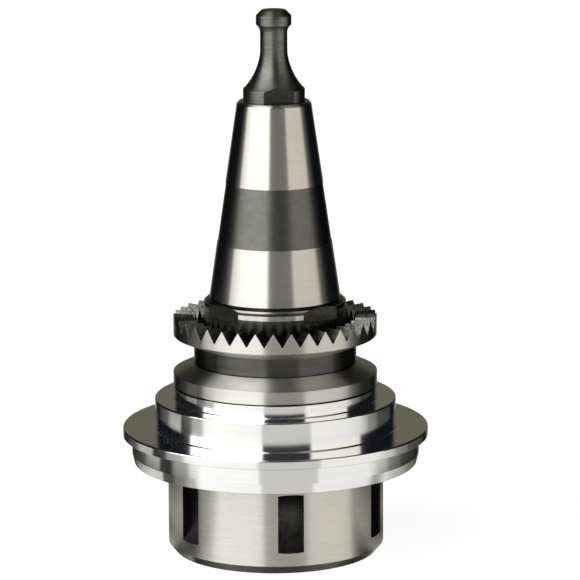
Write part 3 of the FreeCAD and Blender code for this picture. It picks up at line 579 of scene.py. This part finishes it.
def makeShankBody(s):
    def taper(z, depth=0.0):
        return s["gaugeRadius"] - (z - s["gaugeZ"]) * s["taperRate"] - depth

    footRadius = s["grooveRadius"] - s["footDepth"]
    glint = (s["glintZ"] - s["collarZ"]) / (s["lineZ"] - s["collarZ"])
    glintRadius = s["collarRadius"] + (s["lineRadius"] - s["collarRadius"]) * glint
    r = s["roundings"]
    corners = [
        (s["noseWall"] - s["noseChamfer"], s["noseZ"]), (s["noseWall"], s["noseZ"] + s["noseChamfer"]),
        (s["noseWall"], s["reliefZ"]), (s["reliefRadius"], s["reliefZ"] + s["reliefEdge"]),
        (s["reliefRadius"], s["reliefTop"]), (s["spigotRadius"], s["reliefTop"], r["spigot"]),
        (s["spigotRadius"], s["clipLow"]), (s["clipRadius"], s["clipLow"]),
        (s["clipRadius"], s["clipTop"]), (s["spigotRadius"], s["clipTop"]), (s["spigotRadius"], s["flangeZ"]),
        (s["flangeRadius"], s["flangeZ"], r["flangeFoot"]),
        (s["flangeRadius"], s["flangeTop"], r["flangeTop"]),
        (s["grooveRadius"], s["grooveZ"]), (footRadius, s["grooveZ"] + s["footSlope"]),
        (footRadius, s["grooveZ"] + s["footHeight"]),  # fine undercut at the groove's foot
        (s["grooveRadius"], s["grooveZ"] + s["footHeight"]),
        (s["grooveRadius"], s["seatZ"]), (s["collarRadius"], s["seatZ"]),
        (s["collarRadius"], s["groundZ"]), (s["collarRadius"], s["groundTop"]),
        (s["collarRadius"], s["collarZ"], r["collar"]), (glintRadius, s["glintZ"]),
        (s["lineRadius"], s["lineZ"]),
        (taper(s["largeEndZ"], s["lineDepth"]), s["lineZ"]),
        (taper(s["largeEndZ"], s["lineDepth"]), s["largeEndZ"]),
        (taper(s["largeEndZ"]), s["largeEndZ"], r["taperFoot"]),
        (taper(s["bandLow"]), s["bandLow"], r["band"]),
        (taper(s["bandLow"], s["bandDepth"]), s["bandLow"]),
        (taper(s["bandTop"], s["bandDepth"]), s["bandTop"]),
        (taper(s["bandTop"]), s["bandTop"], r["band"]), (taper(s["tipZ"]), s["tipZ"], r["tip"]),
        (taper(s["tipZ"], s["tipChamfer"]), s["smallEndZ"], r["tip"]),
    ]
    bm = bmesh.new()
    turnOutline(bm, corners + s["bore"], s["steps"])
    groundSteel, oxidisedSteel, mattSteel, threadSteel, facedSteel, paintedShadeSteel = range(6)
    seat = s["colletSeat"]

    def rule(radius, z, normal):
        if radius < seat["largeRadius"] and z < seat["top"] or radius < taper(z) - s["wallLeast"]:
            return groundSteel if radius > seat["smallRadius"] else threadSteel
        if z < s["reliefTop"]:
            return threadSteel
        if s["flangeTop"] < z < s["grooveZ"] and radius < s["flangeRadius"] - s["paintMargin"]:
            return facedSteel
        # painted shade at the groove's foot, while the neck keeps its oxidised finish
        if s["grooveZ"] < z < s["seatZ"]:
            return paintedShadeSteel if radius < s["grooveRadius"] - s["paintMargin"] else oxidisedSteel
        if s["collarZ"] < z < s["glintZ"] and radius < s["collarRadius"]:
            return facedSteel
        # painted shade on the collar inside the ring of teeth and at the taper's foot
        if s["seatZ"] <= z < s["groundZ"] or s["groundTop"] < z < s["largeEndZ"]:
            return paintedShadeSteel
        if s["bandLow"] < z < s["bandTop"]:
            return mattSteel
        return groundSteel

    paintFaces(bm, rule)
    piece = newPiece("shankBody", bm, "groundSteel", "oxidisedSteel", "mattSteel", "threadSteel",
                     "facedSteel", "paintedShadeSteel")
    # the collar's flats take the dark painted shade finish
    cutFlats(piece, s, "paintedSlotShadeSteel")
    addThread(piece, s["thread"], threadSteel)
    finishPiece(piece, "shank", "ground_steel", "shank_body")


makeShankBody(shankSizes)


# toothed ring: 36 face teeth, milled between planes that meet on the axis

crownSizes = {
    "seatZ": 51.908, "grooveRadius": 19.9, "underZ": 54.008, "rimRadius": 24.9, "rimChamfer": 0.2,
    "innerRadius": 19.9, "innerRounding": 0.25, "boreRadius": 17.42, "webZ": 55.308, "middleZ": 57.533,
    "toothDepth": 3.35, "tipCut": 0.14, "rootFlat": 0.12, "teeth": 36, "turn": 4.2,
    "cutterTop": 0.985,                      # share of a tooth's depth
    "cutterOuter": 1.2, "cutterInner": 0.5,  # shares of the rim's radius, and of the outer end
    "groundDepth": 0.15, "underTilt": -0.1, "edge": 0.04, "steps": 288,
}


def makeToothedRing(s):
    tipZ = s["middleZ"] + s["toothDepth"] / 2 - s["tipCut"]
    innerTip = s["middleZ"] + (tipZ - s["middleZ"]) * s["innerRadius"] / s["rimRadius"]
    corners = [(s["boreRadius"], s["seatZ"]), (s["grooveRadius"], s["seatZ"]),
               (s["rimRadius"] - s["rimChamfer"], s["underZ"]),
               (s["rimRadius"], s["underZ"] + s["rimChamfer"]),
               (s["rimRadius"], tipZ), (s["innerRadius"], innerTip),
               (s["innerRadius"], s["webZ"], s["innerRounding"]), (s["boreRadius"], s["webZ"])]
    bm = bmesh.new()
    turnOutline(bm, corners, s["steps"])
    groundSteel, paintedShadeSteel = range(2)

    def rule(radius, z, normal):
        # the rim and the underside are ground; the inside of the teeth takes the almost black painted shade
        atRim = radius > s["rimRadius"] - s["groundDepth"]
        return groundSteel if atRim or normal.z < s["underTilt"] else paintedShadeSteel

    paintFaces(bm, rule)
    piece = newPiece("toothedRing", bm, "groundSteel", "paintedShadeSteel", "milledSteel")

    halfPitch = math.pi / s["teeth"]
    spread = s["rimRadius"] * math.sin(halfPitch) - s["rootFlat"]
    apex = Vector((0, 0, s["middleZ"] * mm))
    bm = bmesh.new()
    rim = []
    for share, side in ((0, -1), (0, 1), (s["cutterTop"], 1), (s["cutterTop"], -1)):
        sideways = side * (s["rootFlat"] + spread * share)
        drop = s["toothDepth"] * (share - 0.5)
        corner = Vector((sideways, -s["rimRadius"] * math.cos(halfPitch), drop))
        rim.append(bm.verts.new(apex + corner * s["cutterOuter"] * mm))
    bm.faces.new(rim)
    made = bmesh.ops.extrude_face_region(bm, geom=bm.faces[:], use_keep_orig=True)
    inner = [v for v in made["geom"] if isinstance(v, bmesh.types.BMVert)]
    bmesh.ops.scale(bm, verts=inner, vec=(s["cutterInner"],) * 3, space=Matrix.Translation(-apex))
    repeatRound(bm, s["teeth"], s["turn"])
    # the flanks take the milled finish, whose dark tone is partly painted shade in the gaps
    cutAway(piece, bm, "milledSteel")
    roundCuts(piece, s["edge"])
    finishPiece(piece, "shank", "ground_steel", "toothed_ring")


makeToothedRing(crownSizes)


# pull stud: head, neck, concave flare and a collar with two spanner flats, on its thread

studSizes = {
    "outline": [(0, 90.308), (4.5, 90.308), (4.95, 91.0), (4.95, 106.308), (6.5, 106.308, 0.1),
                (6.5, 111.808), (7.5, 111.808, 0.1), (7.5, 114.708, 0.07), (3.3, 118.588, 5.6),
                (3.3, 129.621, 1.15), (4.3, 130.308, 0.08), (4.3, 132.558, 0.12), (2.95, 133.908, 0.12),
                (0, 133.908)],
    "threadTop": 106.3, "flats": 2, "flatDistance": 6.5, "flatTurn": 11.0, "flatLow": 111.7, "flatTop": 124.3,
    "flatBlock": (18.0, 4.0), "edge": 0.06, "steps": 160,
    "thread": {"turns": 8.2, "stepsPerTurn": 64, "pitch": 1.75, "start": 91.5, "rootRadius": 4.93,
               "rootFlat": 0.25, "crestRadius": 5.98, "crestFlat": 0.22},
}


def makePullStud(s):
    bm = bmesh.new()
    turnOutline(bm, s["outline"], s["steps"], closed=False)
    blackOxideSteel, threadSteel = range(2)
    paintFaces(bm, lambda radius, z, normal: threadSteel if z < s["threadTop"] else blackOxideSteel)
    piece = newPiece("pullStud", bm, "blackOxideSteel", "threadSteel")
    cutFlats(piece, s, "blackOxideFlat")
    addThread(piece, s["thread"], threadSteel)
    finishPiece(piece, "shank", "blackened_steel", "pull_stud")


makePullStud(studSizes)


# dust ring: one turned aluminium piece with a collar, a step, a thin rim and a skirt

ringSizes = {
    "outline": [(21.02, 31.808, 0.3), (27.7, 31.808, 0.4), (27.7, 22.358, 0.3), (34.75, 22.358, 0.1),
                (35.3, 24.808), (35.3, 29.008, 0.1), (37.5, 29.008, 0.12), (37.5, 31.258, 0.42),
                (29.6, 31.258, 0.35), (29.6, 38.508, 0.4), (25.0, 38.508, 0.3), (25.0, 41.49, 0.1),
                (24.3, 41.49), (24.3, 41.808), (21.02, 41.808)],
    "joint": (41.48, 24.0, 24.88),  # lowest height, inner and outer radius
    "steps": 384,
}


def makeDustRing(s):
    bm = bmesh.new()
    turnOutline(bm, s["outline"], s["steps"])
    turnedAluminium, paintedShadeSteel = range(2)
    low, inner, outer = s["joint"]

    def rule(radius, z, normal):
        # painted shade: the fine gap under the flange takes the almost black finish
        return paintedShadeSteel if z > low and inner < radius < outer else turnedAluminium

    paintFaces(bm, rule)
    piece = newPiece("dustRing", bm, "turnedAluminium", "paintedShadeSteel")
    finishPiece(piece, "shank", "turned_aluminium", "dust_ring")


makeDustRing(ringSizes)


# clamping nut: satin turned, six slots for a hook spanner, thread and ball race inside

nutSizes = {
    "outline": [(20.5, 0.0, 0.08), (24.7, 0.0, 0.2), (26.5, 2.2, 0.06), (26.5, 21.8, 0.15),
                (25.7, 22.6, 0.15), (20.6, 22.6, 0.1), (20.1, 22.1), (20.1, 10.058), (20.0, 10.058),
                (20.0, 6.41, 0.08), (21.92, 6.41, 1.85), (21.92, 2.19, 1.85), (20.0, 2.19, 0.08),
                (20.0, 0.5)],
    "inside": (21.95, 0.4, 22.5),  # radius and heights that bound the faces with the thread's finish
    "radius": 26.5, "slots": 6, "slotTurn": 8.1, "slotWidth": 6.3, "slotLength": 14.55, "slotDepth": 3.0,
    "slotMiddle": 12.65, "slotSides": 160, "holeRadius": 2.12, "holeTurn": 158.0, "holeZ": 4.3,
    "holeMiddle": 24.0, "holeDepth": 8.0, "holeSides": 48, "edge": 0.09, "steps": 360,
    "thread": {"turns": 7.0, "stepsPerTurn": 96, "pitch": 1.5, "start": 10.95, "rootRadius": 20.12,
               "rootFlat": 0.196, "crestRadius": 19.25, "crestFlat": 0.3},
}


def makeClampingNut(s):
    bm = bmesh.new()
    turnOutline(bm, s["outline"], s["steps"])
    turnedSteel, threadSteel = range(2)
    wall, low, top = s["inside"]

    def rule(radius, z, normal):
        return threadSteel if radius < wall and low < z < top else turnedSteel

    paintFaces(bm, rule)
    piece = newPiece("clampingNut", bm, "turnedSteel", "threadSteel")

    # the slots are cut with a disc that lies across the axis
    half = s["slotLength"] / 2
    discRadius = (half ** 2 + s["slotDepth"] ** 2) / (2 * s["slotDepth"])
    reach = s["radius"] - s["slotDepth"] + discRadius
    bm = bmesh.new()
    bmesh.ops.create_cone(bm, cap_ends=True, segments=s["slotSides"], radius1=discRadius * mm,
                          radius2=discRadius * mm, depth=s["slotWidth"] * mm)
    turnAbout(bm, 90, "Y")
    bmesh.ops.translate(bm, verts=bm.verts, vec=(0, -reach * mm, s["slotMiddle"] * mm))
    repeatRound(bm, s["slots"], s["slotTurn"])
    # the slot faces take the dark painted shade finish
    cutAway(piece, bm, "paintedSlotShadeSteel")

    # the hole through which the balls are put in
    bm = bmesh.new()
    bmesh.ops.create_cone(bm, cap_ends=True, segments=s["holeSides"], radius1=s["holeRadius"] * mm,
                          radius2=s["holeRadius"] * mm, depth=s["holeDepth"] * mm)
    turnAbout(bm, 90, "X")
    bmesh.ops.translate(bm, verts=bm.verts, vec=(0, -s["holeMiddle"] * mm, s["holeZ"] * mm))
    turnAbout(bm, s["holeTurn"])
    # the hole's faces take the dark painted shade finish too
    cutAway(piece, bm, "paintedSlotShadeSteel")
    roundCuts(piece, s["edge"], turnedSteel)
    addThread(piece, s["thread"], threadSteel)
    finishPiece(piece, "nut", "nut_steel", "clamping_nut")


makeClampingNut(nutSizes)


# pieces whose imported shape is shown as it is

carried = {"retaining_ring": "phosphatedSteel", "thrust_ring": "turnedSteel", "bearing_balls": "lappedSteel",
           "ball_plug": "turnedSteel", "collet": "groundSteel", "stop_screw": "blackOxideSteel"}

for name, finishName in carried.items():
    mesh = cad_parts[name].data
    mesh.materials.clear()
    mesh.materials.append(finish[finishName])
print("carried pieces finished:", len(carried))
